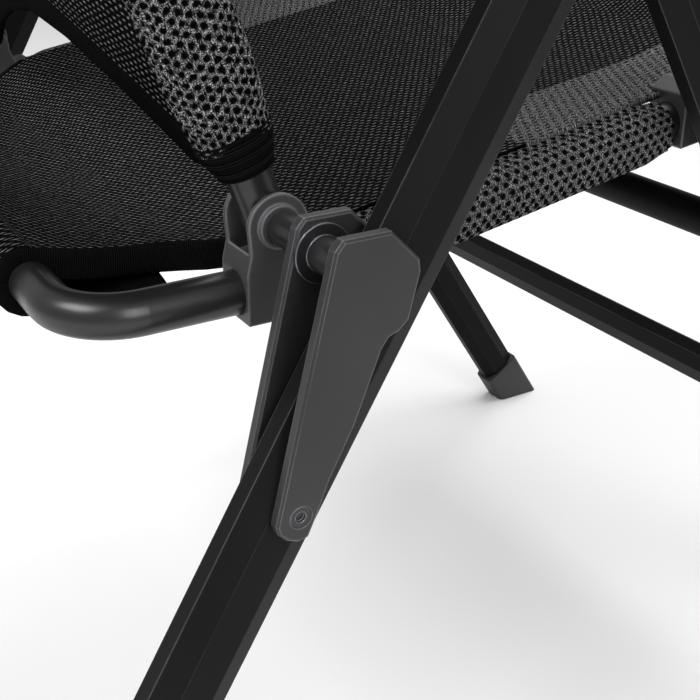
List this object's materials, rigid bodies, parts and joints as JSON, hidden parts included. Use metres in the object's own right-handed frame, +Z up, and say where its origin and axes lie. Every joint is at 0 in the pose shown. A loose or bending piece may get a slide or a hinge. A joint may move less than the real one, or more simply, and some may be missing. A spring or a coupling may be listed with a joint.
{
  "type": "camp rocking chair",
  "caption": "High-back folding camp chair whose padded mesh seat swings on rear links and front hangers inside a crossed-leg frame, with reclining back, headrest and armrests.",
  "frame": {"origin": "centre of the chair's outer box at floor level", "axes": "+X towards the sitter's left, -Y towards the front of the chair, +Z up"},
  "size_m": [0.67, 0.9104, 1.1484],
  "materials": {
    "frame_black": "satin black anodised tube",
    "plate_black": "satin black anodised plate with rounded edges",
    "steel_black": "black zinc-plated steel fasteners",
    "cast_grey": "dark grey moulded bracket",
    "rubber": "matt black rubber",
    "plastic": "fine-grained black plastic",
    "mesh": "padded open 3-D mesh, anthracite",
    "elastic": "ribbed black elastic",
    "pillow": "padded mesh cushion",
    "grip": "matt moulded armrest"
  },
  "bodies": {
    "rear_frame": {"rear_leg_right": "frame_black", "rear_leg_left": "frame_black", "rear_cross_tube": "frame_black", "rear_foot_right": "rubber", "rear_foot_left": "rubber", "rear_leg_plugs": "plastic", "crossing_bolts": "steel_black", "crossing_spacers": "steel_black"},
    "front_frame": {"front_leg_right": "frame_black", "front_leg_left": "frame_black", "lower_brace": "frame_black", "upper_brace": "frame_black", "front_foot_right": "rubber", "front_foot_left": "rubber", "front_leg_plugs": "plastic", "hanger_gusset_right": "plate_black", "hanger_gusset_left": "plate_black", "hanger_pins": "steel_black"},
    "hangers": {"seat_hanger_right": "plate_black", "seat_hanger_left": "plate_black"},
    "pivot_bolts": {"link_bolts": "steel_black"},
    "rear_links": {"link_plate_outer_right": "plate_black", "link_plate_outer_left": "plate_black", "link_plate_inner_right": "plate_black", "link_plate_inner_left": "plate_black"},
    "top_pins": {"link_top_pins": "steel_black"},
    "seat": {"seat_rear_tube": "frame_black", "seat_rail_right": "frame_black", "seat_rail_left": "frame_black", "seat_front_tube": "frame_black", "rear_bracket_right": "cast_grey", "rear_bracket_left": "cast_grey", "front_lug_right": "cast_grey", "front_lug_left": "cast_grey", "seat_pad": "mesh", "rail_wrap_right": "mesh", "rail_wrap_left": "mesh"},
    "backrest": {"backrest_tube_right": "frame_black", "backrest_tube_left": "frame_black", "backrest_top_tube": "frame_black", "recline_stud_right": "plastic", "recline_stud_left": "plastic", "backrest_sleeve_right": "mesh", "backrest_sleeve_left": "mesh", "sleeve_hem_right": "elastic", "sleeve_hem_left": "elastic", "backrest_panel": "mesh", "headrest_pillow": "pillow"},
    "armrest_right": {"armrest_bar_right": "plate_black", "armrest_pad_right": "grip", "notch_rail_right": "plastic"},
    "armrest_left": {"armrest_bar_left": "plate_black", "armrest_pad_left": "grip", "notch_rail_left": "plastic"}
  },
  "joints": [
    {"name": "leg_fold", "type": "hinge", "parent": "rear_frame", "child": "front_frame", "pos_m": [0, 0.0178, 0.6882], "axis": [1, 0, 0], "range_deg": [0, 40]},
    {"name": "link_fold", "type": "hinge", "parent": "rear_frame", "child": "pivot_bolts", "pos_m": [0, 0.2015, 0.38], "axis": [-1, 0, 0], "range_deg": [0, 85]},
    {"name": "rock", "type": "hinge", "parent": "pivot_bolts", "child": "rear_links", "pos_m": [0, 0.2015, 0.38], "axis": [-1, 0, 0], "range_deg": [0, 14]},
    {"name": "pin_turn", "type": "hinge", "parent": "rear_links", "child": "top_pins", "pos_m": [0, 0.1715, 0.489], "axis": [-1, 0, 0], "range_deg": [-11, 0]},
    {"name": "seat_fold", "type": "hinge", "parent": "top_pins", "child": "seat", "pos_m": [0, 0.1715, 0.489], "axis": [-1, 0, 0], "range_deg": [-78, 0]},
    {"name": "backrest_recline", "type": "hinge", "parent": "seat", "child": "backrest", "pos_m": [0, 0.1715, 0.489], "axis": [-1, 0, 0], "range_deg": [-90, 14]},
    {"name": "hanger_swing", "type": "hinge", "parent": "front_frame", "child": "hangers", "pos_m": [0, -0.1131, 0.5631], "axis": [-1, 0, 0], "range_deg": [-40, 0]},
    {"name": "armrest_fold_right", "type": "hinge", "parent": "rear_frame", "child": "armrest_right", "pos_m": [-0.315, 0.0178, 0.6882], "axis": [-1, 0, 0], "range_deg": [0, 49]},
    {"name": "armrest_fold_left", "type": "hinge", "parent": "rear_frame", "child": "armrest_left", "pos_m": [0.315, 0.0178, 0.6882], "axis": [-1, 0, 0], "range_deg": [0, 49]}
  ],
  "couplings": [
    {"joint": "link_fold", "follows": "leg_fold", "ratio": 2.1065},
    {"joint": "seat_fold", "follows": "leg_fold", "ratio": -1.9329},
    {"joint": "pin_turn", "follows": "rock", "ratio": -0.775},
    {"joint": "hanger_swing", "follows": "rock", "ratio": -2.813},
    {"joint": "armrest_fold_right", "follows": "leg_fold", "ratio": 1.2},
    {"joint": "armrest_fold_left", "follows": "leg_fold", "ratio": 1.2}
  ]
}
